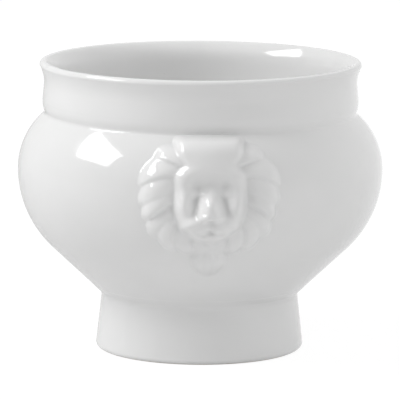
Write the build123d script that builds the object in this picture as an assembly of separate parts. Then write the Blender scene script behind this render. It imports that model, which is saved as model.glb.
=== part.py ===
"""French onion soup crock: a bellied porcelain bowl on a pedestal foot, with a flared
collar and a lion head on its front and back. It is made as such ware is put together
from leather-hard clay: turned bowl, turned collar, turned foot and two press-moulded
heads, each luted to the bowl with a thin bed of slip.

Frame: millimetres, +Z up, origin on the table under the middle of the foot.
The front lion head looks along -Y.
"""
from build123d import *
import os
from math import cos, pi, radians, sin, sqrt, tan

# Bowl
belly_radius = 65.0
belly_height = 64.5
crease_radius = 55.2
crease_height = 84.5
lower_wall_slope = radians(43.5)
bowl_wall = 4.2
bowl_floor = 5.5
underside_height = 12.6
underside_round = 6.0
floor_round = 14.0

# Collar
collar_height = 18.1
bead_radius = 56.7
bead_round = 1.2
bead_height = 4.0
neck_radius = 55.6
neck_rise = 10.0
lip_radius = 57.2
lip_thickness = 3.0
collar_wall = 3.8

# Foot
waist_radius = 35.0
waist_height = 19.9
foot_radius = 36.8
foot_edge_height = 3.6
foot_wall = 5.5
standing_edge_round = 1.5
waist_cove = 3.0

# Slip joints
slip_bed = 0.5
register_depth = 0.8
register_half_width = 1.1

# Lion head: mane, as a lobed layer over the bowl
head_below_belly = 1.5
mane_radius = 24.6
mane_relief = 2.6
mane_taper = 0.14
locks_per_side = 7
first_lock_angle = radians(34)
last_lock_angle = radians(162)
lock_scallop = 1.6
lock_root = 14.0
groove_width = 1.3
tuft_drop = 29.0

# Lion head: face, heights from the middle of the mane
face_half_width = 12.3
face_relief = 3.8
face_round = 26.0
face_below_collar = 1.0
forehead_slope = 0.25
crown_round = 7.0
brow_height = 9.4
brow_overhang = 2.4
brow_round = 2.5
eye_height = 6.2
chin_drop = 14.8
nose_top = 4.2
nose_tip = -5.8
nose_half_width = 4.7
nose_front_share = 0.62
nose_bridge_share = 0.34
nose_bridge_stand_out = 4.0
nose_stand_out = 9.4

# Lion head: balls as (across, up, radius, how far the front stands out from the belly)
BROW = (7.0, 7.8, 5.6, 3.3)
CHEEK = (7.4, -1.4, 5.0, 4.4)
MUZZLE = (3.8, -8.0, 5.8, 6.9)
CHIN = (0.0, -11.2, 5.3, 4.3)
EAR = (9.0, 16.2, 3.6, 0.2)

# Worked-out places
lip_height = crease_height + slip_bed + collar_height
head_height = belly_height - head_below_belly
face_top = crease_height - face_below_collar
neck_inner_radius = neck_radius - collar_wall
slope_tan = tan(lower_wall_slope)
slope_sin = sin(lower_wall_slope)
slope_cos = cos(lower_wall_slope)


def at(radius, height):
    """A point of a turned section, in the XZ plane."""
    return Vector(radius, 0, height)


def turned(*edges):
    """The solid of revolution about Z of one closed section outline."""
    return revolve(make_face(Curve() + list(edges)), Axis.Z)


def sagitta_radius(rise, inset):
    """Radius of an arc that starts upright and moves in by inset over rise."""
    return (rise**2 + inset**2) / (2 * inset)


def rounded_corner(corner, toward_start, toward_end, radius):
    """Start, middle and end of the arc that rounds a corner between two directions."""
    start_way = toward_start.normalized()
    end_way = toward_end.normalized()
    half = radians(start_way.get_angle(end_way)) / 2
    reach = radius / tan(half)
    bisector = (start_way + end_way).normalized()
    middle = corner + bisector * (radius / sin(half) - radius)
    return corner + start_way * reach, middle, corner + end_way * reach


shoulder_arc = sagitta_radius(crease_height - belly_height, belly_radius - crease_radius)
inner_belly_radius = belly_radius - bowl_wall
inner_shoulder_arc = sagitta_radius(crease_height - belly_height, inner_belly_radius - neck_inner_radius)
underbelly_arc = (
    (waist_radius - belly_radius) * slope_sin + (belly_height - waist_height) * slope_cos
) / (1 - slope_sin)
underbelly_centre = belly_radius - underbelly_arc


def underbelly_point(arc, angle):
    """A point on the arc under the belly, angle measured down from the widest ring."""
    return at(underbelly_centre + arc * cos(angle), belly_height - arc * sin(angle))


def cone_height(radius, grow=0.0):
    """Height of the straight lower wall at a radius, moved out by grow."""
    return waist_height + (radius - waist_radius) * slope_tan - grow / slope_cos


def cone_radius(height, grow=0.0):
    """Radius of the straight lower wall at a height, moved out by grow."""
    return waist_radius + (height - waist_height + grow / slope_cos) / slope_tan


def bowl_radius(height):
    """Outer radius of the bowl at a height: shoulder arc, underbelly arc or straight wall."""
    rise = height - belly_height
    if rise > 0:
        return belly_radius - shoulder_arc + sqrt(max(shoulder_arc**2 - rise**2, 0))
    if -rise < underbelly_arc * slope_cos:
        return underbelly_centre + sqrt(underbelly_arc**2 - rise**2)
    return cone_radius(height)


turn_of_arc = pi / 2 - lower_wall_slope
up_the_cone = Vector(slope_cos, 0, slope_sin)


def outer_wall(grow=0.0):
    """Edges of the bowl's outside from the underside's middle to the crease, moved out by grow."""
    floor = underside_height - grow
    corner = at(cone_radius(floor, grow), floor)
    start, middle, end = rounded_corner(corner, Vector(-1, 0, 0), up_the_cone, underside_round + grow)
    arc = underbelly_arc + grow
    belly = at(belly_radius + grow, belly_height)
    tangent = underbelly_point(arc, turn_of_arc)
    shoulder = shoulder_arc + grow
    rise = crease_height - belly_height
    crease = at(belly_radius - shoulder_arc + sqrt(shoulder**2 - rise**2), crease_height)
    half_rise = at(belly_radius - shoulder_arc + sqrt(shoulder**2 - rise**2 / 4), belly_height + rise / 2)
    return [
        Line(at(0, floor), start),
        ThreePointArc(start, middle, end),
        Line(end, tangent),
        ThreePointArc(tangent, underbelly_point(arc, turn_of_arc / 2), belly),
        ThreePointArc(belly, half_rise, crease),
    ], crease


def inner_wall():
    """Edges of the bowl's inside from the neck down to the middle of the floor."""
    rise = crease_height - belly_height
    neck = at(neck_inner_radius, crease_height)
    belly = at(inner_belly_radius, belly_height)
    centre = inner_belly_radius - inner_shoulder_arc
    half_rise = at(centre + sqrt(inner_shoulder_arc**2 - rise**2 / 4), belly_height + rise / 2)
    arc = underbelly_arc - bowl_wall
    tangent = underbelly_point(arc, turn_of_arc)
    floor = underside_height + bowl_floor
    corner = at(cone_radius(floor, -bowl_wall), floor)
    start, middle, end = rounded_corner(corner, up_the_cone, Vector(-1, 0, 0), floor_round)
    return [
        ThreePointArc(neck, half_rise, belly),
        ThreePointArc(belly, underbelly_point(arc, turn_of_arc / 2), tangent),
        Line(tangent, start),
        ThreePointArc(start, middle, end),
        Line(end, at(0, floor)),
    ], neck


def register(outer, inner, lift):
    """Edges of the ridge that centres the collar on the bowl, from the outer rim edge to the inner."""
    middle = (outer + inner) / 2
    across = Vector(register_half_width, 0, 0)
    up = Vector(0, 0, lift)
    crest = middle + Vector(0, 0, register_depth)
    points = [outer + up, middle + across + up, crest + up, middle - across + up, inner + up]
    return [Line(a, b) for a, b in zip(points, points[1:])]


def make_bowl():
    outside, crease = outer_wall()
    inside, neck = inner_wall()
    axis = Line(inside[-1] @ 1, outside[0] @ 0)
    return turned(*outside, *register(crease, neck, 0), *inside, axis)


def collar_rim():
    """Outer and inner corners of the joint between bowl and collar, on the bowl's rim."""
    return outer_wall()[1], inner_wall()[1]


def make_collar_slip():
    crease, neck = collar_rim()
    lift = Vector(0, 0, slip_bed)
    return turned(
        *register(crease, neck, 0),
        *register(crease, neck, slip_bed),
        Line(crease, crease + lift),
        Line(neck, neck + lift),
    )


def make_collar():
    """A band with a rounded bead at its foot, a hollow neck and a flared, rounded lip."""
    crease, neck = collar_rim()
    base = crease_height + slip_bed
    seat = register(crease, neck, slip_bed)
    bead_foot = at(bead_radius - bead_round, base)
    bead_side = at(bead_radius, base + bead_round)
    bead_middle = at(bead_radius - bead_round * (1 - sin(pi / 4)), base + bead_round * (1 - cos(pi / 4)))
    bead_top = at(bead_radius, base + bead_height)
    hollow = at(neck_radius, base + neck_rise)
    lip_round = lip_thickness / 2
    lip_outer = at(lip_radius, lip_height - lip_round)
    lip_crown = at(lip_radius - lip_round, lip_height)
    lip_inner = at(lip_radius - lip_thickness, lip_height - lip_round)
    lip_centre = at(lip_radius - lip_round, lip_height - lip_round)
    across = Vector(lip_round * cos(pi / 4), 0, 0)
    up = Vector(0, 0, lip_round * sin(pi / 4))
    inner_hollow = at(neck_inner_radius, base + neck_rise)
    inner_foot = at(neck_inner_radius, base)
    flare = lip_radius - lip_thickness - neck_inner_radius
    flare_rise = lip_height - lip_round - base - neck_rise
    flare_arc = sagitta_radius(flare_rise, flare)
    inner_flare = at(
        neck_inner_radius + flare_arc - sqrt(flare_arc**2 - flare_rise**2 / 4),
        base + neck_rise + flare_rise / 2,
    )
    return turned(
        *seat,
        Line(crease + Vector(0, 0, slip_bed), bead_foot),
        ThreePointArc(bead_foot, bead_middle, bead_side),
        Line(bead_side, bead_top),
        ThreePointArc(bead_top, hollow, lip_outer),
        ThreePointArc(lip_outer, lip_centre + across + up, lip_crown),
        ThreePointArc(lip_crown, lip_centre - across + up, lip_inner),
        ThreePointArc(lip_inner, inner_flare, inner_hollow),
        Line(inner_hollow, inner_foot),
    )


foot_lean = (waist_radius - foot_radius) / (waist_height - foot_edge_height)
foot_inner_top = waist_radius - foot_wall
down_the_foot = Vector(-foot_lean, 0, -1).normalized()


def foot_outer_radius(height):
    """Outer radius of the flaring foot at a height."""
    return waist_radius + (height - waist_height) * foot_lean


seat_drop = slip_bed / slope_cos / (1 - foot_lean * slope_tan)
foot_seat_outer = at(foot_outer_radius(waist_height - seat_drop), waist_height - seat_drop)
foot_seat_inner = at(foot_inner_top, cone_height(foot_inner_top, slip_bed))


def make_foot():
    """A flaring ring whose top is a conical seat and whose rounded lower edge stands on the table."""
    outer_corner = at(foot_outer_radius(0), 0)
    inner_corner = at(foot_outer_radius(0) - foot_wall, 0)
    up_outside = foot_seat_outer - outer_corner
    up_inside = foot_seat_inner - inner_corner
    outer_start, outer_middle, outer_end = rounded_corner(
        outer_corner, up_outside, Vector(-1, 0, 0), standing_edge_round
    )
    inner_start, inner_middle, inner_end = rounded_corner(
        inner_corner, Vector(1, 0, 0), up_inside, standing_edge_round
    )
    return turned(
        Line(foot_seat_inner, foot_seat_outer),
        Line(foot_seat_outer, outer_start),
        ThreePointArc(outer_start, outer_middle, outer_end),
        Line(outer_end, inner_start),
        ThreePointArc(inner_start, inner_middle, inner_end),
        Line(inner_end, foot_seat_inner),
    )


def make_foot_slip():
    """The conical bed on the foot's seat, with the cove of slip smoothed into the waist."""
    waist = at(waist_radius, waist_height)
    cove_start, cove_middle, cove_end = rounded_corner(waist, down_the_foot, up_the_cone, waist_cove)
    inner = at(foot_inner_top, cone_height(foot_inner_top))
    return turned(
        Line(inner, cove_end),
        ThreePointArc(cove_end, cove_middle, cove_start),
        Line(cove_start, foot_seat_outer),
        Line(foot_seat_outer, foot_seat_inner),
        Line(foot_seat_inner, inner),
    )


def filled_bowl(grow):
    """The bowl's outside as a solid lump with the collar's column on top, moved out by grow."""
    edges, crease = outer_wall(grow)
    head_room = crease_height + collar_height
    shoulder = at(bead_radius + grow, crease_height)
    return turned(
        *edges,
        Line(crease, shoulder),
        Line(shoulder, at(bead_radius + grow, head_room)),
        Line(at(bead_radius + grow, head_room), at(0, head_room)),
        Line(at(0, head_room), at(0, underside_height - grow)),
    )


def on_bowl(across, height, lift):
    """The point of the bowl's front that is seen at a place across and a height, lifted off the surface."""
    radius = bowl_radius(height) + lift
    return Vector(across, -sqrt(radius**2 - across**2), height)


def lock_place(index, dip):
    """Place across and height on the mane's outline: index counts lock borders, halves are lock tips."""
    share = index / locks_per_side
    angle = first_lock_angle + (last_lock_angle - first_lock_angle) * share
    reach = mane_radius * (1 - mane_taper * share**3) - dip
    return reach * sin(angle), head_height + reach * cos(angle)


def mane_prism():
    """The outline of mane and tuft, lock tips as arcs, carried through the front of the bowl."""
    half = [(face_half_width - crown_round / 2, face_top), lock_place(0, lock_scallop)]
    for index in range(locks_per_side):
        half += [lock_place(index + 0.5, 0), lock_place(index + 1, lock_scallop)]
    right = [Vector(x, 0, z) for x, z in half]
    left = [Vector(-x, 0, z) for x, z in half]
    tuft = Vector(0, 0, head_height - tuft_drop)
    edges = [Line(left[0], right[0]), ThreePointArc(right[-1], tuft, left[-1])]
    for side in (right, left):
        edges.append(Line(side[0], side[1]))
        for index in range(1, len(side) - 1, 2):
            edges.append(ThreePointArc(side[index], side[index + 1], side[index + 2]))
    return extrude(make_face(Curve() + edges), amount=2 * belly_radius, dir=(0, -1, 0))


def lock_groove(side, index):
    """The groove between two locks: a square bar laid on edge along their border."""
    angle = first_lock_angle + (last_lock_angle - first_lock_angle) * index / locks_per_side
    lift = slip_bed + mane_relief
    across, height = lock_place(index, lock_scallop - groove_width)
    root = on_bowl(side * lock_root * sin(angle), head_height + lock_root * cos(angle), lift)
    end = on_bowl(side * across, height, lift)
    outward = Vector(root.X, root.Y, 0)
    bar = Box(groove_width, groove_width, (end - root).length, align=(Align.CENTER, Align.CENTER, Align.MIN))
    return Plane(root, x_dir=outward, z_dir=end - root) * Rotation(0, 0, 45) * bar


def mane_layer():
    """A layer over the bowl with the mane's outline and a groove between every two locks."""
    layer = filled_bowl(slip_bed + mane_relief) & mane_prism()
    grooves = [lock_groove(side, index) for side in (-1, 1) for index in range(1, locks_per_side)]
    return layer - grooves


def ball(form, side):
    """One rounded form of the face: a ball whose front stands out from the belly."""
    across, up, radius, stand_out = form
    centre = Vector(side * across, radius - belly_radius - stand_out, head_height + up)
    return Pos(*centre) * Rotation(0, 0, 90) * Sphere(radius)


def face_plate():
    """The face: a turned front with forehead, brow and cheek line, cut to a shield with rounded corners."""
    middle = belly_radius + face_relief - face_round
    brow = head_height + brow_height
    eyes = head_height + eye_height
    chin = head_height - chin_drop
    top = face_top + face_below_collar
    crown = at(face_round - forehead_slope * (top - brow), top)
    ridge = at(face_round, brow)
    hollow = at(face_round - brow_overhang, eyes)
    jaw = at(face_round - brow_overhang, chin)
    ridge_start, ridge_middle, ridge_end = rounded_corner(ridge, crown - ridge, hollow - ridge, brow_round)
    front = turned(
        Line(at(0, top), crown),
        Line(crown, ridge_start),
        ThreePointArc(ridge_start, ridge_middle, ridge_end),
        Line(ridge_end, hollow),
        Line(hollow, jaw),
        Line(jaw, at(0, chin)),
        Line(at(0, chin), at(0, top)),
    )
    cheek_line = chin + face_half_width
    edges = [ThreePointArc((face_half_width, 0, cheek_line), (0, 0, chin), (-face_half_width, 0, cheek_line))]
    for side in (-1, 1):
        corner = Vector(side * face_half_width, 0, top)
        inward = Vector(-side, 0, 0)
        arc_start, arc_middle, arc_end = rounded_corner(corner, inward, Vector(0, 0, -1), crown_round)
        edges.append(Line(at(0, top), arc_start))
        edges.append(ThreePointArc(arc_start, arc_middle, arc_end))
        edges.append(Line(arc_end, (side * face_half_width, 0, cheek_line)))
    prism = extrude(make_face(Curve() + edges), amount=2 * belly_radius, dir=(0, -1, 0))
    return (Pos(0, -middle, 0) * front) & prism


def nose_section(height, half_width, stand_out):
    """A level trapezium of the nose, narrower in front than behind."""
    back = -belly_radius + face_round / 4
    front = -belly_radius - stand_out
    slim = half_width * nose_front_share
    corners = [(half_width, back), (slim, front), (-slim, front), (-half_width, back)]
    return make_face(Polyline(*[(x, y, head_height + height) for x, y in corners], close=True))


def nose():
    """A wedge that widens and stands out more towards its tip."""
    bridge = nose_section(nose_top, nose_half_width * nose_bridge_share, nose_bridge_stand_out)
    tip = nose_section(nose_tip, nose_half_width, nose_stand_out)
    return loft([bridge, tip])


def modelled_head():
    """All forms of one lion head as a single lump, level on top below the collar."""
    forms = [face_plate(), nose(), ball(CHIN, 0)]
    for side in (-1, 1):
        forms += [ball(form, side) for form in (BROW, CHEEK, MUZZLE, EAR)]
    reach = 4 * belly_radius
    below_top = Pos(0, 0, face_top - reach / 2) * Box(reach, reach, reach)
    return (mane_layer() + forms) & below_top


def slip_layer():
    """A skin of slip over the bowl's outside, from the underside's rounding to the crease."""
    bare, crease = outer_wall()
    coated, coated_crease = outer_wall(slip_bed)
    return turned(
        *bare[1:],
        *coated[1:],
        Line(bare[1] @ 0, coated[1] @ 0),
        Line(crease, coated_crease),
    )


def make_lion_heads():
    """Front and rear heads with the slip beds behind them, as name to solid."""
    head = (modelled_head() - filled_bowl(slip_bed)).solid()
    bed = (slip_layer() & mane_prism()).solid()
    half_turn = Rotation(0, 0, 180)
    return {
        "front_lion_head": head,
        "rear_lion_head": half_turn * head,
        "front_head_slip": bed,
        "rear_head_slip": half_turn * bed,
    }


pieces = {
    "bowl": make_bowl(),
    "collar": make_collar(),
    "collar_slip": make_collar_slip(),
    "foot": make_foot(),
    "foot_slip": make_foot_slip(),
    **make_lion_heads(),
}

os.makedirs("parts", exist_ok=True)
for name, solid in pieces.items():
    export_step(solid, f"parts/{name}.step")
    print(name, "volume", round(solid.volume, 1), "mm3", "valid", solid.is_valid)
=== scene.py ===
"""Lion-head onion soup crock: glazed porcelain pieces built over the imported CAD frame."""
import math

import bpy
import numpy as np
from bpy.props import FloatProperty, FloatVectorProperty, IntProperty, PointerProperty
from bpy.types import NodeSocket, Operator, Panel, PropertyGroup
from mathutils import Matrix, Vector


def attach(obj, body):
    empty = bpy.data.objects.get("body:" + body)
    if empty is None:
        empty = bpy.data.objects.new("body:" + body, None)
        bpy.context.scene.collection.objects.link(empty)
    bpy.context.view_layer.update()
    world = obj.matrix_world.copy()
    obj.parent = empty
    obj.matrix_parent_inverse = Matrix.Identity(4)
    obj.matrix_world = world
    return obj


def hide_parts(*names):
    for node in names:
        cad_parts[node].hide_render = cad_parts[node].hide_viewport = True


bl_info = {
    "name": "Onion soup crock",
    "version": (1, 0, 0),
    "blender": (4, 5, 0),
    "location": "View3D > Sidebar > Crock",
    "description": "Builds a footed porcelain soup crock with lion heads and its studio",
    "category": "Add Mesh",
}

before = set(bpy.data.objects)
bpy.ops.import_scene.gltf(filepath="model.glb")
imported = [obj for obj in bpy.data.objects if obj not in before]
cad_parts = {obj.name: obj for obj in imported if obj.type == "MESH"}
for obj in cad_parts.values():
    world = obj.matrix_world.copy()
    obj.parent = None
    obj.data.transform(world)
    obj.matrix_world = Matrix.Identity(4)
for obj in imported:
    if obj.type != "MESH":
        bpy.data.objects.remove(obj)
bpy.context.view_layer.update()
MM = 0.001

# Longest run between two rings of the bowl and the foot
RING_SPACING = 2.0 * MM

# Rounded forms of the face in millimetres: how far each stands out, its middle across and up,
# its half width and half height, and the power of its fall. Each has a mirror twin.
FACE_PILLOWS = {
    "eye hollow": (-2.5, 5.0, 1.2, 2.2, 4.6, 1.2),
    "root of the nose": (-2.5, 0.0, 5.8, 6.8, 3.1, 1.1),
    "eyeball": (0.9, 5.3, 2.9, 1.7, 1.4, 1.5),
    "brow": (0.9, 9.4, 8.4, 3.6, 3.4, 1.0),
    "cheek": (3.0, 8.4, -1.4, 3.4, 5.0, 1.0),
    "muzzle": (3.0, 3.4, -8.6, 4.8, 3.6, 1.2),
    "chin": (2.0, 0.0, -13.2, 5.4, 2.3, 1.2),
    "ear": (0.7, 10.2, 16.8, 2.6, 3.0, 1.0),
}

# Long forms of the face in millimetres: how far each stands out, its start and end as
# (across, up), and its width
FACE_RIDGES = {
    "upper lip": (1.1, (2.8, -5.0), (9.0, -9.0), 1.8),
    "mouth": (-1.2, (0.0, -10.2), (4.0, -11.3), 0.8),
    "groove under the nose": (-0.5, (0.0, -6.6), (0.0, -10.0), 0.8),
}

# Depth, in millimetres, of what lies outside the face and above its ledge
SUNK = 2.0

# How far a mane or tuft falls outside its outline, as a share of its relief
SKIRT = 0.6

# Corners of the softbox in metres, along its long axis and across it
SOFTBOX_CORNERS = ((0.504, 0.09), (-0.214, -0.236), (-0.477, -0.015), (-0.123, 0.303))


def length(name, description, default):
    """A property that holds a length."""
    return FloatProperty(name=name, description=description, default=default, unit="LENGTH")


class CrockShape(PropertyGroup):
    """Sizes of the turned bowl, collar and foot."""

    belly_radius: length("Belly radius", "Radius at the widest ring", 65.0 * MM)
    belly_height: length("Belly height", "Height of the widest ring", 64.5 * MM)
    crease_radius: length("Crease radius", "Radius where the collar meets the shoulder", 55.2 * MM)
    crease_height: length("Crease height", "Height where the collar meets the shoulder", 84.5 * MM)
    wall_slope: FloatProperty(
        name="Lower wall slope", description="Lean of the straight lower wall",
        default=math.radians(43.5), subtype="ANGLE",
    )
    waist_radius: length("Waist radius", "Radius where foot and bowl meet", 35.0 * MM)
    waist_height: length("Waist height", "Height where foot and bowl meet", 19.9 * MM)
    bowl_wall: length("Bowl wall", "Thickness of the bowl's wall", 4.2 * MM)
    underside_height: length("Underside height", "Height of the bowl's underside", 12.6 * MM)
    underside_round: length("Underside rounding", "Radius between underside and wall", 6.0 * MM)
    floor_thickness: length("Floor thickness", "Thickness of the bowl's floor", 5.5 * MM)
    floor_round: length("Floor rounding", "Radius between floor and inside wall", 14.0 * MM)
    lip_radius: length("Lip radius", "Outer radius of the lip", 57.2 * MM)
    lip_height: length("Lip height", "Height of the top of the lip", 103.1 * MM)
    lip_thickness: length("Lip thickness", "Thickness of the rounded lip", 3.0 * MM)
    flare_lean: FloatProperty(
        name="Flare lean", description="Lean of the collar's inside at the lip",
        default=math.radians(48), subtype="ANGLE",
    )
    bead_radius: length("Bead radius", "Radius of the bead at the foot of the collar", 56.2 * MM)
    neck_radius: length("Neck radius", "Outer radius of the hollow of the collar", 55.6 * MM)
    neck_height: length("Neck height", "Height of the hollow of the collar", 95.0 * MM)
    collar_wall: length("Collar wall", "Thickness of the collar", 3.8 * MM)
    foot_radius: length("Foot radius", "Outer radius of the foot on the table", 37.2 * MM)
    foot_wall: length("Foot wall", "Thickness of the foot", 5.5 * MM)
    waist_cove: length("Waist cove", "Rounding of slip and glaze in the waist", 3.0 * MM)
    columns: IntProperty(name="Columns", description="Steps round the axis", default=256, min=32)


class LionShape(PropertyGroup):
    """Sizes of the lion heads, measured on the bowl's surface."""

    middle_height: length("Middle height", "Height of the middle of the mane", 63.0 * MM)
    mane_radius: length("Mane radius", "Reach of the locks from the middle", 25.3 * MM)
    mane_relief: length("Mane relief", "How far the locks stand out", 3.5 * MM)
    locks: IntProperty(name="Locks", description="Locks of hair on each side", default=7, min=3)
    face_half_width: length("Face half width", "Half the width of the face", 13.6 * MM)
    face_top: length("Face top", "Height of the ledge above the forehead", 83.9 * MM)
    face_relief: length("Face relief", "How far the brow stands out from the belly", 4.4 * MM)
    nose_relief: length("Nose relief", "How far the nose stands out from the face", 4.8 * MM)
    grid_step: length("Grid step", "Spacing of the relief's points", 0.25 * MM)


class GlazeLook(PropertyGroup):
    """Colours and gloss of the glaze and the bare clay."""

    glaze_colour: FloatVectorProperty(
        name="Glaze", description="White of the glazed porcelain",
        default=(0.834, 0.834, 0.832), subtype="COLOR",
    )
    # Deeper tone for slow clouds in the glaze, and painted shade in the lion's hollows, where glaze
    # also gathers
    deep_tone_and_shade_colour: FloatVectorProperty(
        name="Deeper tone and hollow shade", description="Deeper tone of clouds and painted shade in hollows",
        default=(0.758, 0.762, 0.76), subtype="COLOR",
    )
    speck_colour: FloatVectorProperty(
        name="Specks", description="Iron specks in the glaze",
        default=(0.3, 0.27, 0.23), subtype="COLOR",
    )
    biscuit_colour: FloatVectorProperty(
        name="Biscuit", description="Bare clay of the standing ring",
        default=(0.8, 0.77, 0.72), subtype="COLOR",
    )
    rubbed_colour: FloatVectorProperty(
        name="Rubbed biscuit", description="Darker grain of the standing ring",
        default=(0.66, 0.62, 0.56), subtype="COLOR",
    )
    gloss_roughness: FloatProperty(
        name="Gloss roughness", description="Roughness of the glaze",
        default=0.08, min=0.0, max=1.0, subtype="FACTOR",
    )
    biscuit_roughness: FloatProperty(
        name="Biscuit roughness", description="Roughness of the bare clay",
        default=0.7, min=0.0, max=1.0, subtype="FACTOR",
    )


class StudioSetup(PropertyGroup):
    """Camera and lights."""

    camera_distance: length("Camera distance", "Level distance from the axis", 1.3856)
    camera_height: length("Camera height", "Height above the table", 0.281)
    camera_azimuth: FloatProperty(
        name="Camera azimuth", description="Turn round the crock",
        default=math.radians(-3.0), subtype="ANGLE",
    )
    camera_pitch: FloatProperty(
        name="Camera pitch", description="Tilt below the horizon",
        default=math.radians(9.357), subtype="ANGLE",
    )
    camera_roll: FloatProperty(
        name="Camera roll", description="Turn about the line of sight",
        default=math.radians(0.34), subtype="ANGLE",
    )
    camera_lens: FloatProperty(name="Lens", description="Focal length in mm", default=353.7)
    key_toward: FloatVectorProperty(
        name="Key toward", description="Direction from the crock to the softbox on the left",
        default=(-0.735, -0.036, 0.677), subtype="DIRECTION",
    )
    key_long_axis: FloatVectorProperty(
        name="Key long axis", description="Direction in which the softbox is longest",
        default=(0.433, 0.768, 0.472), subtype="DIRECTION",
    )
    key_distance: length("Key distance", "Distance of the softbox from the crock", 1.0)
    key_aim: length("Key aim", "Height on the axis that the softbox faces", 70.0 * MM)
    key_glow: FloatProperty(
        name="Key glow", description="Brightness of the softbox",
        default=8.6,
    )
    fill_left: FloatProperty(
        name="Fill left", description="Soft light from the far left",
        default=0.16,
    )
    fill_right: FloatProperty(
        name="Fill right", description="Soft light from the far right",
        default=1.035,
    )
    mirror_near: FloatProperty(
        name="Mirror near", description="Brightness reflected from the near side",
        default=0.2,
    )
    mirror_far: FloatProperty(
        name="Mirror far", description="Brightness reflected from the far side",
        default=1.0,
    )
    mirror_turn: FloatProperty(
        name="Mirror turn", description="Turn of the bright far side to the right",
        default=math.radians(55), subtype="ANGLE",
    )
    floor_left: FloatProperty(
        name="Floor left", description="Brightness of the floor in reflections, left",
        default=0.6,
    )
    floor_right: FloatProperty(
        name="Floor right", description="Brightness of the floor in reflections, right",
        default=1.0,
    )
    floor_reach: length("Floor reach", "Radius of the floor", 6.0)
    floor_hole: length("Floor hole", "Radius of the hole hidden under the foot", 35.3 * MM)


def smooth_step(x, softness):
    """A smooth step from 0 to 1 at x = 0: half of one plus the hyperbolic tangent."""
    return 0.5 * (1.0 + np.tanh(x / softness))


def soft_ramp(x, softness):
    """A ramp that climbs from x = 0 on: softness times the log of one plus the exponential."""
    return softness * np.log1p(np.exp(x / softness))


def soft_larger(a, b, blend):
    """The larger of two fields with a rounded crease: a soft ramp of the gap is added."""
    return np.maximum(a, b) + soft_ramp(-np.abs(a - b), blend)


def arc(centre, radius, start, end, steps):
    """Points of a circular arc in the section plane: centre plus radius at evenly spaced angles."""
    turn = np.linspace(start, end, steps)
    return np.asarray(centre) + radius * np.column_stack((np.cos(turn), np.sin(turn)))


def rounded_outline(corners, roundings, steps, closed):
    """A polygon whose corners are replaced by tangent arcs.

    For a corner with unit directions p and q to its neighbours and half angle h, the arc starts
    at radius / tan(h) along p, ends there along q, and is drawn about the point radius / sin(h)
    along the bisector.
    """
    corners = np.asarray(corners, float)
    count = len(corners)
    runs = []
    for index, radius in enumerate(roundings):
        here = corners[index]
        end_corner = not closed and index in (0, count - 1)
        if radius <= 0 or end_corner:
            runs.append(here[None, :])
            continue
        p = corners[index - 1] - here
        q = corners[(index + 1) % count] - here
        p = p / np.hypot(*p)
        q = q / np.hypot(*q)
        half = np.arccos(np.clip(p @ q, -1, 1)) / 2
        bisector = (p + q) / np.hypot(*(p + q))
        centre = here + bisector * radius / np.sin(half)
        first = here + p * radius / np.tan(half) - centre
        last = here + q * radius / np.tan(half) - centre
        start = np.arctan2(first[1], first[0])
        sweep = np.arctan2(last[1], last[0]) - start
        sweep = (sweep + np.pi) % (2 * np.pi) - np.pi
        runs.append(arc(centre, radius, start, start + sweep, steps))
    return np.concatenate(runs)


def resampled(outline, spacing, closed):
    """The same outline with points added so that no run is longer than spacing."""
    ends = np.roll(outline, -1, axis=0) if closed else outline[1:]
    starts = outline if closed else outline[:-1]
    lengths = np.hypot(*(ends - starts).T)
    counts = np.maximum(np.ceil(lengths / spacing).astype(int), 1)
    owner = np.repeat(np.arange(len(counts)), counts)
    first = np.repeat(np.cumsum(counts) - counts, counts)
    share = (np.arange(counts.sum()) - first) / counts[owner]
    points = starts[owner] + (ends - starts)[owner] * share[:, None]
    return points if closed else np.vstack((points, outline[-1:]))


def grid_faces(rows, columns, wrap_rows):
    """Quads of a grid that closes round its columns, and round its rows if wrap_rows is set."""
    last = rows if wrap_rows else rows - 1
    row, column = np.meshgrid(np.arange(last), np.arange(columns), indexing="ij")
    below = row * columns
    above = ((row + 1) % rows) * columns
    right = (column + 1) % columns
    quads = np.stack((below + column, below + right, above + right, above + column), axis=-1)
    return quads.reshape(-1, 4)


def mesh_piece(name, points, quads, triangles=None, attributes=None):
    """A smooth-shaded mesh object in metres from arrays of points, quads and triangles."""
    faces = quads.tolist()
    if triangles is not None:
        faces += triangles.tolist()
    mesh = bpy.data.meshes.new(name)
    mesh.from_pydata(points.tolist(), [], faces)
    mesh.polygons.foreach_set("use_smooth", np.ones(len(mesh.polygons), bool))
    for label, values in (attributes or {}).items():
        layer = mesh.attributes.new(label, "FLOAT", "POINT")
        layer.data.foreach_set("value", values.astype(np.float32))
    mesh.update()
    mesh.validate()
    piece = bpy.data.objects.new(name, mesh)
    bpy.context.scene.collection.objects.link(piece)
    return piece


def turned(outline, columns):
    """Rings of points: each outline point (r, z) goes round the axis to (r cos t, r sin t, z)."""
    turn = np.linspace(0, 2 * np.pi, columns, endpoint=False)
    r = outline[:, 0, None]
    z = np.broadcast_to(outline[:, 1, None], (len(outline), columns))
    return np.stack((r * np.cos(turn), r * np.sin(turn), z), axis=-1).reshape(-1, 3)


def turned_ring(name, outline, columns, closed=True):
    """A ring turned about Z. If closed is set, the outline's last point joins its first."""
    quads = grid_faces(len(outline), columns, closed)
    return mesh_piece(name, turned(outline, columns), quads)


def turned_vessel(name, outline, columns):
    """A vessel turned about Z from an outline whose two ends lie on the axis and become poles."""
    rings = outline[1:-1]
    points = turned(rings, columns)
    poles = np.array([[0, 0, outline[0, 1]], [0, 0, outline[-1, 1]]])
    here = np.arange(columns)
    beside = (here + 1) % columns
    top = (len(rings) - 1) * columns
    bottom_pole = np.full(columns, len(points))
    bottom_fan = np.column_stack((beside, here, bottom_pole))
    top_fan = np.column_stack((top + here, top + beside, bottom_pole + 1))
    quads = grid_faces(len(rings), columns, False)
    return mesh_piece(name, np.vstack((points, poles)), quads, np.vstack((bottom_fan, top_fan)))


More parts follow.
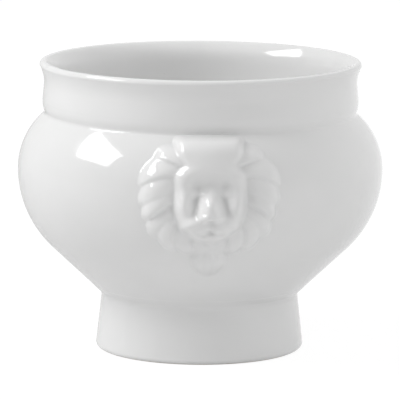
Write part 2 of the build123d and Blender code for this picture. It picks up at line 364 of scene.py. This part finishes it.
def underbelly(shape):
    """Radius and axis distance of the arc that joins the widest ring to the straight lower wall."""
    s, c = math.sin(shape.wall_slope), math.cos(shape.wall_slope)
    widening = shape.waist_radius - shape.belly_radius
    rise = shape.belly_height - shape.waist_height
    radius = (widening * s + rise * c) / (1 - s)
    return radius, shape.belly_radius - radius


def upright_arc(rise, inset):
    """Radius of an arc that starts upright and moves in by inset over rise."""
    return (rise**2 + inset**2) / (2 * inset)


def shoulder(shape):
    """Rise and radius of the arc from the widest ring up to the crease."""
    rise = shape.crease_height - shape.belly_height
    return rise, upright_arc(rise, shape.belly_radius - shape.crease_radius)


def on_shoulder(shape, radius, lift):
    """The section point of the shoulder arc at a radius, raised by lift."""
    upper = shoulder(shape)[1]
    across = radius - shape.belly_radius + upper
    return radius, shape.belly_height + math.sqrt(upper**2 - across**2) + lift


def bowl_radius(shape, height):
    """Outer radius of the bowl: shoulder arc, underbelly arc below the widest ring, then wall."""
    rise, upper = shoulder(shape)
    lower, centre = underbelly(shape)
    arc_drop = lower * math.cos(shape.wall_slope)
    above = np.clip(height - shape.belly_height, 0, rise)
    below = np.clip(shape.belly_height - height, 0, arc_drop)
    straight = shape.waist_radius + (height - shape.waist_height) / math.tan(shape.wall_slope)
    on_arc = centre + np.sqrt(lower**2 - below**2)
    under = np.where(below < arc_drop, on_arc, straight)
    over = shape.belly_radius - upper + np.sqrt(upper**2 - above**2)
    return np.where(height > shape.belly_height, over, under)


def bowl_outline(shape):
    """The bowl's section from the middle of the underside, up the outside and down the inside.

    Both sides are a straight wall, an arc up to the widest ring and a shoulder arc.
    """
    rise, upper = shoulder(shape)
    lower, centre = underbelly(shape)
    wall_run = 10.0 * MM
    level = shape.belly_height
    inner_belly = shape.belly_radius - shape.bowl_wall
    inner_neck = shape.neck_radius - shape.collar_wall
    inner_upper = upright_arc(rise, inner_belly - inner_neck)
    underside = shape.underside_height
    floor = underside + shape.floor_thickness
    wall_turn = shape.wall_slope - math.pi / 2
    top_turn = math.asin(rise / upper)
    inner_top_turn = math.asin(rise / inner_upper)

    def on_wall(height, inset):
        climb = height - shape.waist_height - inset / math.cos(shape.wall_slope)
        return shape.waist_radius + climb / math.tan(shape.wall_slope), height

    base_corners = [(0, underside), on_wall(underside, 0), on_wall(shape.waist_height, 0)]
    inside_wall = on_wall(floor + wall_run, shape.bowl_wall)
    floor_corners = [inside_wall, on_wall(floor, shape.bowl_wall), (0, floor)]
    runs = (
        rounded_outline(base_corners, [0, shape.underside_round, 0], steps=10, closed=False),
        arc((centre, level), lower, wall_turn, 0, steps=60),
        arc((shape.belly_radius - upper, level), upper, 0, top_turn, steps=40)[1:],
        arc((inner_belly - inner_upper, level), inner_upper, inner_top_turn, 0, steps=40),
        arc((centre, level), lower - shape.bowl_wall, 0, wall_turn, steps=60)[1:],
        rounded_outline(floor_corners, [0, shape.floor_round, 0], steps=24, closed=False),
    )
    return resampled(np.concatenate(runs), RING_SPACING, closed=False)


def collar_cove(shape):
    """The lower edge of the collar: hidden lap on the shoulder, cove and round of the bead."""
    lap = 1.4 * MM
    overhang = 0.1 * MM
    lap_skin = 0.05 * MM
    lap_depth = 0.4 * MM
    lap_inset = 0.3 * MM
    bead_start, bead_end = 2.5 * MM, 4.6 * MM
    cove_round, bead_round = 1.4 * MM, 7.0 * MM
    hidden = on_shoulder(shape, shape.crease_radius + lap, -lap_skin)
    corners = [
        (shape.crease_radius - lap_inset, hidden[1] - lap_depth),
        hidden,
        on_shoulder(shape, shape.crease_radius + overhang, 0.0),
        (shape.bead_radius, shape.crease_height + bead_start),
        (shape.bead_radius, shape.crease_height + bead_end),
    ]
    return rounded_outline(corners, [0, 0, cove_round, bead_round, 0], steps=20, closed=False)


def collar_outside(shape, bottom, top):
    """The collar's outer wall between two heights.

    A smooth step leads from the bead in to the neck, half way to its height. From the neck out to
    the lip the radius grows with the square of the height. What is left of the step at the lip
    goes with the fourth power of the height.
    """
    step_softness, levels = 0.24, 40
    height = np.linspace(bottom, top, levels)
    along = (height - bottom) / (top - bottom)
    neck = (shape.neck_height - bottom) / (top - bottom)
    step = smooth_step(along - 0.5 * neck, step_softness)
    step_in = (shape.bead_radius - shape.neck_radius) * (step - step[0]) / (1 - step[0])
    flare = np.clip((along - neck) / (1 - neck), 0, 1) ** 2
    radius = shape.bead_radius - step_in + (shape.lip_radius - shape.neck_radius) * flare
    radius = radius + (shape.lip_radius - radius[-1]) * along**4
    return np.column_stack((radius, height))


def collar_outline(shape):
    """The collar's section: cove on the shoulder, outer wall, rounded lip and inner wall.

    The lip's arc ends where it leans as far as the flare inside it. The flare is a power of the
    height above the neck, and the power makes its lean at the top the same. Inside, the lower
    edge laps over the bowl's by a hair.
    """
    wall_start, levels = 4.7 * MM, 72
    lap = 0.15 * MM
    lap_height, lap_softness, lap_skin = 0.8 * MM, 0.4 * MM, 0.04 * MM
    base = shape.crease_height
    inner = shape.neck_radius - shape.collar_wall
    lip = shape.lip_thickness / 2
    lip_middle = (shape.lip_radius - lip, shape.lip_height - lip)
    outside = collar_outside(shape, base + wall_start, lip_middle[1])
    crown = arc(lip_middle, lip, 0, math.pi - shape.flare_lean, steps=24)[1:]
    wide, top = crown[-1]
    flare_height = top - shape.neck_height
    power = math.tan(shape.flare_lean) * flare_height / (wide - inner)
    height = np.linspace(top, base - lap, levels)[1:]
    flare = np.clip((height - shape.neck_height) / flare_height, 0, 1) ** power
    skin = lap_skin * smooth_step(base + lap_height - height, lap_softness)
    inside = np.column_stack((inner + (wide - inner) * flare + skin, height))
    return np.concatenate((collar_cove(shape), outside, crown, inside))


def foot_outline(shape):
    """The foot's section: rounded standing ring, flaring wall, cove into the bowl, hollow inside.

    The slip laps up the bowl's wall on both sides, and the top is rooted inside that wall.
    """
    skin = 0.06 * MM
    root = 2.2 * MM
    outer_lap, outer_root = 3.4 * MM, 2.2 * MM
    inner_lap, inner_root = 2.4 * MM, 1.4 * MM
    ring_inner_round, ring_outer_round = 1.5 * MM, 1.6 * MM
    lap_round, hollow_round = 0.3 * MM, 1.6 * MM
    outer = shape.waist_radius
    inner = outer - shape.foot_wall

    def on_wall(radius, lift):
        climb = (radius - shape.waist_radius) * math.tan(shape.wall_slope)
        return radius, shape.waist_height + climb + lift

    rounded_corners = [
        ((shape.foot_radius - shape.foot_wall, 0), ring_inner_round),
        ((shape.foot_radius, 0), ring_outer_round),
        (on_wall(outer, -skin), shape.waist_cove),
        (on_wall(outer + outer_lap, -skin), lap_round),
        (on_wall(outer + outer_root, root), 0),
        (on_wall(inner - inner_root, root), 0),
        (on_wall(inner - inner_lap, -skin), lap_round),
        (on_wall(inner, -skin), hollow_round),
    ]
    corners, roundings = zip(*rounded_corners)
    outline = rounded_outline(corners, roundings, steps=12, closed=True)
    return resampled(outline, RING_SPACING, closed=True)


def pillow(across, up, middle, height, half_width, half_height, power):
    """A rounded form and its mirror twin: exp of minus the squared reach raised to a power."""
    reach = ((np.abs(across) - middle) / half_width) ** 2 + ((up - height) / half_height) ** 2
    return np.exp(-(reach**power))


def ridge(across, up, start, end, width):
    """A rounded ridge and its mirror twin: exp of minus the squared distance from a segment."""
    side = np.abs(across)
    run, climb = end[0] - start[0], end[1] - start[1]
    along = (side - start[0]) * run + (up - start[1]) * climb
    along = np.clip(along / (run**2 + climb**2), 0, 1)
    gap = (side - start[0] - along * run) ** 2 + (up - start[1] - along * climb) ** 2
    return np.exp(-gap / width**2)


def mane_height(across, up, radius, relief, locks):
    """A rounded ring of broad locks, in millimetres.

    The angle from the crown, shifted with the reach so that the locks sweep down, is cut into
    steps, one for each lock. Locks differ a little in width, by a sine of the angle, and in
    height and reach, by sines of their number. The ring is highest near the face. From that crest
    it falls as an arch, one less the squared offset over the width, to a power, over a short way
    inwards and a longer way outwards. Each lock rises towards its lower border and overlaps the
    next. Nothing stands above the ledge of the forehead.
    """
    first, last = math.radians(34), math.radians(162)
    crest, inner_fall = 18.6, 7.0
    sweep, sweep_from = 0.1, 21
    spread, spread_turns = 0.2, 11
    gain_spread, gain_turn, gain_start = 0.14, 2.4, 1.0
    reach_spread, reach_turn, reach_start = 0.7, 1.7, 0.4
    chin_taper = 0.14
    notch, border, overlap = 1.1, 0.1, 1.0
    arch_power = 0.8
    ledge, ledge_softness = 18.4, 0.8
    reach = np.hypot(across, up)
    angle = np.arctan2(np.abs(across), up)
    share = (angle - first) / (last - first)
    place = share * locks + spread * np.sin(spread_turns * share) - sweep * (reach - sweep_from)
    number = np.floor(place)
    part = place - number
    swell = np.sin(np.pi * part)
    gain = 1 + gain_spread * np.sin(gain_turn * number + gain_start)
    longer = reach_spread * np.sin(reach_turn * number + reach_start)
    taper = 1 - chin_taper * np.clip(share, 0, 1) ** 3
    offset = reach - crest * taper
    outer_fall = (radius - crest) * taper + longer - notch * (1 - swell)
    inside = 1 - (offset / np.where(offset < 0, inner_fall, outer_fall)) ** 2
    arch = np.maximum(inside, 0) ** arch_power
    height = arch * (relief * gain * (1 - border + border * swell) + overlap * (part - 0.5))
    height = height + relief * np.clip(inside, -SKIRT, 0)
    below_ledge = smooth_step(ledge - up, ledge_softness)
    return height * below_ledge - SUNK * (1 - below_ledge)


def tuft_height(across, up):
    """The tuft under the chin, in millimetres: a dome with two grooves between its strands.

    The dome is one less the squared reach, to a power. The grooves are a bell curve of the
    distance across.
    """
    half_width, half_height, drop, relief = 7.0, 6.7, 21.8, 3.9
    groove_place, groove_width, groove_depth = 2.3, 0.8, 0.16
    dome_power = 0.85
    dome = 1 - (across / half_width) ** 2 - ((up + drop) / half_height) ** 2
    groove = np.exp(-(((np.abs(across) - groove_place) / groove_width) ** 2))
    strands = 1 - groove_depth * groove
    return relief * (strands * np.maximum(dome, 0) ** dome_power + np.clip(dome, -SKIRT, 0))


def nose_height(across, up, relief):
    """A leaf-shaped nose: a narrow flat back with two sides that widen and rise to the tip.

    The half width is a sine of the way from top to tip, and so is the rise of the back, which
    ends a little past half way.
    """
    top, tip = 3.6, -5.8
    widest, leaf_start, leaf_run = 5.2, 0.1, 0.62
    back_top, back_growth = 0.2, 0.9
    root_relief, rise_end = 0.7, 0.55
    tip_softness, top_softness, top_run = 0.8, 0.9, 0.8
    along = np.clip((top - up) / (top - tip), 0, 1)
    half_width = widest * np.sin(np.pi * (leaf_start + leaf_run * along))
    back = back_top + back_growth * along
    slant = np.clip((half_width - np.abs(across)) / (half_width - back), 0, 1)
    rise = np.sin(0.5 * np.pi * np.minimum(along / rise_end, 1))
    height = root_relief + (relief - root_relief) * rise
    ends = smooth_step(up - tip, tip_softness) * smooth_step(top + top_run - up, top_softness)
    return height * slant * ends


def face_radius(across, up, belly, relief, nose):
    """Radius of the face, in millimetres.

    A plate that bends back with the square of the way across, and by soft ramps at forehead,
    crown and jaw. The rounded forms, the ridges and the nose are added to it.
    """
    forehead, forehead_lean, forehead_softness = 9.5, 0.3, 1.5
    crown, crown_lean, crown_softness = 18.4, 1.1, 0.8
    jaw, jaw_lean, jaw_softness = -8.5, 0.35, 1.5
    bend = 0.014
    radius = belly + relief - bend * across**2
    radius = radius - forehead_lean * soft_ramp(up - forehead, forehead_softness)
    radius = radius - crown_lean * soft_ramp(up - crown, crown_softness)
    radius = radius - jaw_lean * soft_ramp(jaw - up, jaw_softness)
    for height, *place in FACE_PILLOWS.values():
        radius = radius + height * pillow(across, up, *place)
    for height, *place in FACE_RIDGES.values():
        radius = radius + height * ridge(across, up, *place)
    return radius + nose_height(across, up, nose)


def face_edge(across, up, half_width, top):
    """One inside the outline of the face, zero outside: flat top, drawn-in temples, round jaw.

    The distance from the outline is the width times one less the reach, where the reach is the
    root of the squared share across plus the share of the fall below the jaw. The step over that
    distance is narrow beside the brow and widens towards the chin, so the jaw slopes away.
    """
    jaw, chin, jaw_power = -1.6, -15.4, 2.2
    temple, temple_height, temple_depth = 12.2, 2.2, 3.4
    crown, crown_softness, crown_depth = 14.0, 1.2, 1.0
    brow_softness, chin_softness = 2.5, 3.5
    top_softness = 0.4
    fall = np.maximum((jaw - up) / (jaw - chin), 0)
    temples = temple_depth * np.exp(-(((up - temple) / temple_height) ** 2))
    width = half_width - temples - crown_depth * smooth_step(up - crown, crown_softness)
    distance = width * (1 - np.sqrt((across / width) ** 2 + fall**jaw_power))
    softness = brow_softness + (chin_softness - brow_softness) * np.clip(fall, 0, 1)
    return smooth_step(distance, softness) * smooth_step(top - up, top_softness)


def softened(field, passes):
    """The field after averaging each point with its neighbours, weights 1, 2, 1, on both axes."""
    for _ in range(passes):
        padded = np.pad(field, 1, mode="edge")
        field = (padded[:-2] + 2 * padded[1:-1] + padded[2:]) / 4
        field = (field[:, :-2] + 2 * field[:, 1:-1] + field[:, 2:]) / 4
    return field


def lion_relief(shape, lion, across, height):
    """Radius of the lion head's front over a grid of arc length and height, and its relief.

    The relief, in millimetres, is the soft larger of mane, tuft, face and bowl, softened and
    sunk by a hair so that its rim runs under the bowl's surface.
    """
    mane_blend, face_blend, rim_blend = 0.25, 0.35, 0.45
    passes, rim_depth = 7, 0.12
    u = across / MM
    up = (height - lion.middle_height) / MM
    ground = bowl_radius(shape, height) / MM
    top = (lion.face_top - lion.middle_height) / MM
    inside = face_edge(u, up, lion.face_half_width / MM, top)
    belly, relief, nose = shape.belly_radius / MM, lion.face_relief / MM, lion.nose_relief / MM
    plate = inside * (face_radius(u, up, belly, relief, nose) - ground) - SUNK * (1 - inside)
    mane = mane_height(u, up, lion.mane_radius / MM, lion.mane_relief / MM, lion.locks)
    hair = soft_larger(mane, tuft_height(u, up), mane_blend)
    head = soft_larger(soft_larger(hair, plate, face_blend), 0.0, rim_blend)
    head = softened(head, passes) - rim_depth
    return (ground + head) * MM, head


def hollow_depth_shade(relief):
    """How deep each point lies below its surroundings, from 0 to 1 at the full depth.

    The surroundings are the relief after averaging the points two steps away, several times.
    The lion's glaze is darkened by this share: painted shade in its hollows.
    """
    passes, full_shade_depth = 6, 0.6
    smooth = relief
    for _ in range(passes):
        padded = np.pad(smooth, 2, mode="edge")
        sides = padded[2:-2, :-4] + padded[2:-2, 4:]
        smooth = (padded[:-4, 2:-2] + padded[4:, 2:-2] + sides) / 4
    return np.clip((smooth - relief) / full_shade_depth, 0, 1)


def lion_head(name, shape, lion, facing):
    """A lion head as one closed lump.

    The front is a grid of arc length and height bent round the bowl at the relief's radius.
    The back is a set of shrinking copies of the grid's border, a little under the bowl's
    surface, that close on a middle point.
    """
    side_margin, above_crease, below_middle = 3.0 * MM, 0.6 * MM, 32.0 * MM
    back_depth, back_rings = 2.2 * MM, 9
    half = lion.mane_radius + side_margin
    bottom = lion.middle_height - below_middle
    top = shape.crease_height + above_crease
    columns = np.linspace(-half, half, int(2 * half / lion.grid_step) + 1)
    rows = np.linspace(bottom, top, int((top - bottom) / lion.grid_step) + 1)
    across, height = np.meshgrid(columns, rows)
    radius, relief = lion_relief(shape, lion, across, height)

    def bent(arc_length, level, r):
        turn = arc_length / shape.belly_radius + facing
        return np.stack((r * np.sin(turn), -r * np.cos(turn), level), axis=-1).reshape(-1, 3)

    front = bent(across, height, radius)
    number = np.arange(across.size).reshape(across.shape)
    corners = (number[:-1, :-1], number[:-1, 1:], number[1:, 1:], number[1:, :-1])
    front_quads = np.stack(corners, axis=-1).reshape(-1, 4)
    edges = (number[0, :-1], number[:-1, -1], number[-1, :0:-1], number[:0:-1, 0])
    border = np.concatenate(edges)
    shrink = 1 - np.linspace(0, 1, back_rings + 2)[1:, None]
    ring_u = across.ravel()[border] * shrink
    ring_z = lion.middle_height + (height.ravel()[border] - lion.middle_height) * shrink
    back = bent(ring_u, ring_z, bowl_radius(shape, ring_z) - back_depth)
    back = back[: back_rings * len(border) + 1]
    pole = len(front) + back_rings * len(border)
    loops = np.vstack((border, np.arange(len(front), pole).reshape(back_rings, -1)))
    beside = np.roll(loops, -1, axis=1)
    corners = (loops[:-1], loops[1:], beside[1:], beside[:-1])
    back_quads = np.stack(corners, axis=-1).reshape(-1, 4)
    fan = np.column_stack((loops[-1], np.full(len(border), pole), beside[-1]))
    # Painted shade: the share by which the glaze darkens in the hollows, where glaze also gathers
    shade_share = np.concatenate((hollow_depth_shade(relief).ravel(), np.zeros(len(back))))
    quads = np.vstack((front_quads, back_quads))
    return mesh_piece(name, np.vstack((front, back)), quads, fan, {"glaze_pool_shade": shade_share})


def node_maker(tree):
    """A function that adds a node to the tree, makes its settings and fills or links its inputs."""

    def add(kind, inputs=None, **settings):
        node = tree.nodes.new(kind)
        for label, value in settings.items():
            setattr(node, label, value)
        for socket, value in (inputs or {}).items():
            if isinstance(value, NodeSocket):
                tree.links.new(value, node.inputs[socket])
            else:
                node.inputs[socket].default_value = value
        return node

    return add


def math_node(add, operation, first, second):
    """The result of a math operation on two values or sockets."""
    return add("ShaderNodeMath", {0: first, 1: second}, operation=operation).outputs[0]


def colour_mix(add, share, first, second):
    """The first colour where share is zero and the second where it is one.

    A mix node keeps its colours in sockets 6 and 7 and gives the mixed colour as output 2.
    """
    return add("ShaderNodeMix", {0: share, 6: first, 7: second}, data_type="RGBA").outputs[2]


def value_mix(add, share, first, second):
    """The first value where share is zero and the second where it is one."""
    return add("ShaderNodeMix", {0: share, 2: first, 3: second}, data_type="FLOAT").outputs[0]


def shader_mix(add, share, first, second):
    """The first shader where share is zero and the second where it is one."""
    return add("ShaderNodeMixShader", {0: share, 1: first, 2: second}).outputs[0]


def ranged(add, value, span, result, **settings):
    """A value's way through a span carried over to the range of the result."""
    start, end = span
    low, high = result
    inputs = {"Value": value, "From Min": start, "From Max": end, "To Min": low, "To Max": high}
    return add("ShaderNodeMapRange", inputs, **settings).outputs["Result"]


def noise(add, place, scale, detail):
    """Cloudy noise from 0 to 1 in the piece's own coordinates."""
    inputs = {"Vector": place, "Scale": scale, "Detail": detail}
    return add("ShaderNodeTexNoise", inputs).outputs["Fac"]


def speckled(add, place, colour, speck_colour):
    """The colour with a few faint specks: small discs about one in fourteen cell middles."""
    bare_lots, strength = 0.93, 0.22
    cells = add("ShaderNodeTexVoronoi", {"Vector": place, "Scale": 95.0}).outputs
    disc = ranged(add, cells["Distance"], span=(0.012, 0.03), result=(1.0, 0.0))
    lot = add("ShaderNodeSeparateColor", {"Color": cells["Color"]}).outputs["Red"]
    chosen = math_node(add, "GREATER_THAN", lot, bare_lots)
    speck = math_node(add, "MULTIPLY", disc, chosen)
    faint_speck = math_node(add, "MULTIPLY", speck, strength)
    return colour_mix(add, faint_speck, colour, speck_colour)


def glaze_normal(add, place):
    """Long ripples of the melted glaze with very small pin marks on them."""
    ripples = {"Strength": 0.12, "Distance": 0.4 * MM}
    ripples["Height"] = noise(add, place, scale=95.0, detail=1.0)
    pins = {"Strength": 0.02, "Distance": 0.08 * MM}
    pins["Height"] = noise(add, place, scale=900.0, detail=2.0)
    pins["Normal"] = add("ShaderNodeBump", ripples).outputs["Normal"]
    return add("ShaderNodeBump", pins).outputs["Normal"]


def bare_share(add, place):
    """One on the lowest half millimetre of the foot, whose upper border wanders a little."""
    height = add("ShaderNodeSeparateXYZ", {"Vector": place}).outputs["Z"]
    wander = noise(add, place, scale=140.0, detail=2.0)
    border = ranged(add, wander, span=(0.0, 1.0), result=(0.25 * MM, 0.6 * MM))
    return math_node(add, "LESS_THAN", height, border)


def glaze_material(name, look, shade_hollows=False, bare_ring=False):
    """Clear glaze on white porcelain.

    Colour: the glaze white, cooled a little in slow clouds, and in hollows darkened as painted
    shade where glaze also gathers, with a few faint iron specks. Roughness: even gloss with slow
    variation. Bump: ripples and pin marks.
    The standing ring is bare, rough biscuit.
    """
    material = bpy.data.materials.new(name)
    material.use_nodes = True
    tree = material.node_tree
    add = node_maker(tree)
    place = add("ShaderNodeTexCoord").outputs["Object"]
    clouds = noise(add, place, scale=34.0, detail=3.0)
    tone_and_shade = ranged(add, clouds, span=(0.35, 0.75), result=(0.0, 0.3))
    if shade_hollows:
        # Painted shade in the lion's hollows, where glaze also gathers: the colour moves to the
        # deeper tone
        shade_in_hollows = add("ShaderNodeAttribute", attribute_name="glaze_pool_shade").outputs["Fac"]
        tone_and_shade = math_node(add, "MAXIMUM", tone_and_shade, shade_in_hollows)
    colour = colour_mix(add, tone_and_shade, (*look.glaze_colour, 1), (*look.deep_tone_and_shade_colour, 1))
    colour = speckled(add, place, colour, (*look.speck_colour, 1))
    smears = noise(add, place, scale=60.0, detail=2.0)
    gloss_range = (0.8 * look.gloss_roughness, 1.3 * look.gloss_roughness)
    gloss = ranged(add, smears, span=(0.3, 0.7), result=gloss_range)
    if bare_ring:
        bare = bare_share(add, place)
        grain = noise(add, place, scale=2600.0, detail=3.0)
        clay = colour_mix(add, grain, (*look.biscuit_colour, 1), (*look.rubbed_colour, 1))
        colour = colour_mix(add, bare, colour, clay)
        gloss = value_mix(add, bare, gloss, look.biscuit_roughness)
    shader = tree.nodes["Principled BSDF"]
    tree.links.new(colour, shader.inputs["Base Color"])
    tree.links.new(gloss, shader.inputs["Roughness"])
    tree.links.new(glaze_normal(add, place), shader.inputs["Normal"])
    shader.inputs["IOR"].default_value = 1.52
    return material


def dress(piece, material, slot, *nodes):
    """Gives a piece its material and body and hides its CAD nodes. The record slot is not used."""
    piece.data.materials.append(material)
    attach(piece, "root")
    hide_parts(*nodes)


class CROCK_OT_bowl(Operator):
    """Turns the glazed bowl."""

    bl_idname = "crock.bowl"
    bl_label = "Bowl"

    def execute(self, context):
        scene = context.scene
        shape = scene.crock_shape
        piece = turned_vessel("glazed_bowl", bowl_outline(shape), shape.columns)
        dress(piece, glaze_material("bowl_glaze", scene.crock_glaze), "porcelain", "bowl")
        return {"FINISHED"}


class CROCK_OT_collar(Operator):
    """Turns the collar with its bead and lip."""

    bl_idname = "crock.collar"
    bl_label = "Collar"

    def execute(self, context):
        scene = context.scene
        shape = scene.crock_shape
        piece = turned_ring("glazed_collar", collar_outline(shape), shape.columns)
        material = glaze_material("collar_glaze", scene.crock_glaze)
        dress(piece, material, "porcelain", "collar", "collar_slip")
        return {"FINISHED"}


class CROCK_OT_foot(Operator):
    """Turns the foot with its bare standing ring."""

    bl_idname = "crock.foot"
    bl_label = "Foot"

    def execute(self, context):
        scene = context.scene
        shape = scene.crock_shape
        piece = turned_ring("glazed_foot", foot_outline(shape), shape.columns)
        material = glaze_material("foot_glaze", scene.crock_glaze, bare_ring=True)
        dress(piece, material, "porcelain", "foot", "foot_slip")
        return {"FINISHED"}


class CROCK_OT_lion_heads(Operator):
    """Models the lion heads on the front and the back."""

    bl_idname = "crock.lion_heads"
    bl_label = "Lion heads"

    def execute(self, context):
        scene = context.scene
        # The lion's glaze darkens in its hollows: painted shade where glaze gathers
        material = glaze_material("lion_glaze", scene.crock_glaze, shade_hollows=True)
        for side, facing in (("front", 0.0), ("rear", math.pi)):
            piece = lion_head(f"{side}_lion", scene.crock_shape, scene.crock_lion, facing)
            dress(piece, material, "porcelain", f"{side}_lion_head", f"{side}_head_slip")
        return {"FINISHED"}


def empty_material(name):
    """A material without nodes and the maker of its nodes."""
    material = bpy.data.materials.new(name)
    material.use_nodes = True
    material.node_tree.nodes.clear()
    return material, node_maker(material.node_tree)


def ray_kinds(add):
    """Two switches: the first is 1 for camera rays, the second for rays from a gloss or a glass."""
    path = add("ShaderNodeLightPath").outputs
    mirrored = math_node(add, "MAXIMUM", path["Is Glossy Ray"], path["Is Transmission Ray"])
    return path["Is Camera Ray"], mirrored


def studio_floor(setup):
    """A wide pale floor: a flat ring whose hole the foot covers, so that light reaches its hollow.

    The camera sees it white with a soft shadow, and clear from below. Glossy rays see it bright
    on the right and dim on the left: a smooth step of x.
    """
    columns, step_reach = 96, 0.2
    seen_grey, seen_glow, unseen_grey = 0.16, 0.9, 0.8
    outline = np.array([[setup.floor_reach, 0], [setup.floor_hole, 0]])
    floor = turned_ring("studio_floor", outline, columns, closed=False)
    material, add = empty_material("pale_floor")
    camera, mirrored = ray_kinds(add)

    def diffuse(grey):
        return add("ShaderNodeBsdfDiffuse", {"Color": (grey, grey, grey, 1)}).outputs[0]

    def glowing(strength):
        return add("ShaderNodeEmission", {"Strength": strength}).outputs[0]

    place = add("ShaderNodeTexCoord").outputs["Object"]
    x = add("ShaderNodeSeparateXYZ", {"Vector": place}).outputs["X"]
    span, result = (-step_reach, step_reach), (setup.floor_left, setup.floor_right)
    grade = ranged(add, x, span, result, interpolation_type="SMOOTHSTEP")
    seen = add("ShaderNodeAddShader", {0: diffuse(seen_grey), 1: glowing(seen_glow)}).outputs[0]
    unseen = shader_mix(add, mirrored, diffuse(unseen_grey), glowing(grade))
    above = shader_mix(add, camera, unseen, seen)
    below = add("ShaderNodeNewGeometry").outputs["Backfacing"]
    clear = add("ShaderNodeBsdfTransparent").outputs[0]
    add("ShaderNodeOutputMaterial", {"Surface": shader_mix(add, below, above, clear)})
    floor.data.materials.append(material)


def studio_world(setup):
    """Soft light that grows to the right; reflections see a dark near side; the camera sees white.

    Each grade is the dot product of the ray's direction with the brightest direction.
    """
    world = bpy.data.worlds.new("studio_world")
    bpy.context.scene.world = world
    world.use_nodes = True
    world.node_tree.nodes.clear()
    add = node_maker(world.node_tree)
    camera, mirrored = ray_kinds(add)
    ray = add("ShaderNodeTexCoord").outputs["Generated"]

    def graded(toward, result):
        product = add("ShaderNodeVectorMath", {0: ray, 1: toward}, operation="DOT_PRODUCT")
        grade = ranged(add, product.outputs["Value"], (-1.0, 1.0), result)
        return add("ShaderNodeBackground", {"Color": grade}).outputs[0]

    far_right = (math.sin(setup.mirror_turn), math.cos(setup.mirror_turn), 0)
    light = graded((1, 0, 0), (setup.fill_left, setup.fill_right))
    mirror = graded(far_right, (setup.mirror_near, setup.mirror_far))
    white = add("ShaderNodeBackground", {"Color": (1, 1, 1, 1)}).outputs[0]
    unseen = shader_mix(add, mirrored, light, mirror)
    add("ShaderNodeOutputWorld", {"Surface": shader_mix(add, camera, unseen, white)})


def studio_softbox(setup):
    """A glowing kite-shaped panel at a direction and distance from the crock, facing it.

    Each corner (along, across) is the middle of the panel plus along times the long axis and
    across times the axis square to it.
    """
    back = setup.key_toward.normalized()
    side = (setup.key_long_axis - back * setup.key_long_axis.dot(back)).normalized()
    axes = np.array([side, back.cross(side)])
    middle = np.array([0, 0, setup.key_aim]) + setup.key_distance * np.array(back)
    points = middle + np.array(SOFTBOX_CORNERS) @ axes
    panel = mesh_piece("key_softbox", points, np.arange(len(points)).reshape(1, -1))
    material, add = empty_material("key_softbox")
    glow = add("ShaderNodeEmission", {"Strength": setup.key_glow}).outputs[0]
    add("ShaderNodeOutputMaterial", {"Surface": glow})
    panel.data.materials.append(material)
    panel.visible_camera = False


def studio_camera(setup):
    """The camera at the photograph's place: level distance, height, turn, tilt, roll and lens."""
    lens = bpy.data.cameras.new("studio_camera")
    lens.lens = setup.camera_lens
    lens.sensor_width = 36.0
    lens.clip_start, lens.clip_end = 0.05, 50.0
    camera = bpy.data.objects.new("studio_camera", lens)
    turn = setup.camera_azimuth
    spot = Vector((math.sin(turn), -math.cos(turn), 0)) * setup.camera_distance
    spot.z = setup.camera_height
    tilt = Matrix.Rotation(math.pi / 2 - setup.camera_pitch, 4, "X")
    aim = Matrix.Rotation(turn, 4, "Z") @ tilt @ Matrix.Rotation(setup.camera_roll, 4, "Z")
    camera.matrix_world = Matrix.Translation(spot) @ aim
    bpy.context.scene.collection.objects.link(camera)
    bpy.context.scene.camera = camera


class CROCK_OT_stage(Operator):
    """Sets the pale floor, the soft lights and the camera."""

    bl_idname = "crock.stage"
    bl_label = "Studio"

    def execute(self, context):
        setup = context.scene.crock_studio
        context.scene.view_settings.view_transform = "Standard"
        studio_floor(setup)
        studio_world(setup)
        studio_softbox(setup)
        studio_camera(setup)
        return {"FINISHED"}


class CROCK_PT_sidebar(Panel):
    """Lists the pieces of the crock."""

    bl_label = "Onion soup crock"
    bl_idname = "CROCK_PT_sidebar"
    bl_space_type = "VIEW_3D"
    bl_region_type = "UI"
    bl_category = "Crock"

    def draw(self, context):
        for operator in OPERATORS:
            self.layout.operator(operator.bl_idname)


OPERATORS = (CROCK_OT_stage, CROCK_OT_bowl, CROCK_OT_collar, CROCK_OT_foot, CROCK_OT_lion_heads)
SETTINGS = {
    "crock_shape": CrockShape,
    "crock_lion": LionShape,
    "crock_glaze": GlazeLook,
    "crock_studio": StudioSetup,
}


def register():
    """Registers the settings, the operators and the panel."""
    for group in SETTINGS.values():
        bpy.utils.register_class(group)
    for label, group in SETTINGS.items():
        setattr(bpy.types.Scene, label, PointerProperty(type=group))
    for operator in OPERATORS:
        bpy.utils.register_class(operator)
    bpy.utils.register_class(CROCK_PT_sidebar)


def unregister():
    """Removes the panel, the operators and the settings."""
    bpy.utils.unregister_class(CROCK_PT_sidebar)
    for operator in reversed(OPERATORS):
        bpy.utils.unregister_class(operator)
    for label in SETTINGS:
        delattr(bpy.types.Scene, label)
    for group in reversed(SETTINGS.values()):
        bpy.utils.unregister_class(group)


def main():
    """Registers the classes and builds every piece."""
    register()
    bpy.ops.crock.stage()
    bpy.ops.crock.bowl()
    bpy.ops.crock.collar()
    bpy.ops.crock.foot()
    bpy.ops.crock.lion_heads()


if __name__ == "__main__":
    main()
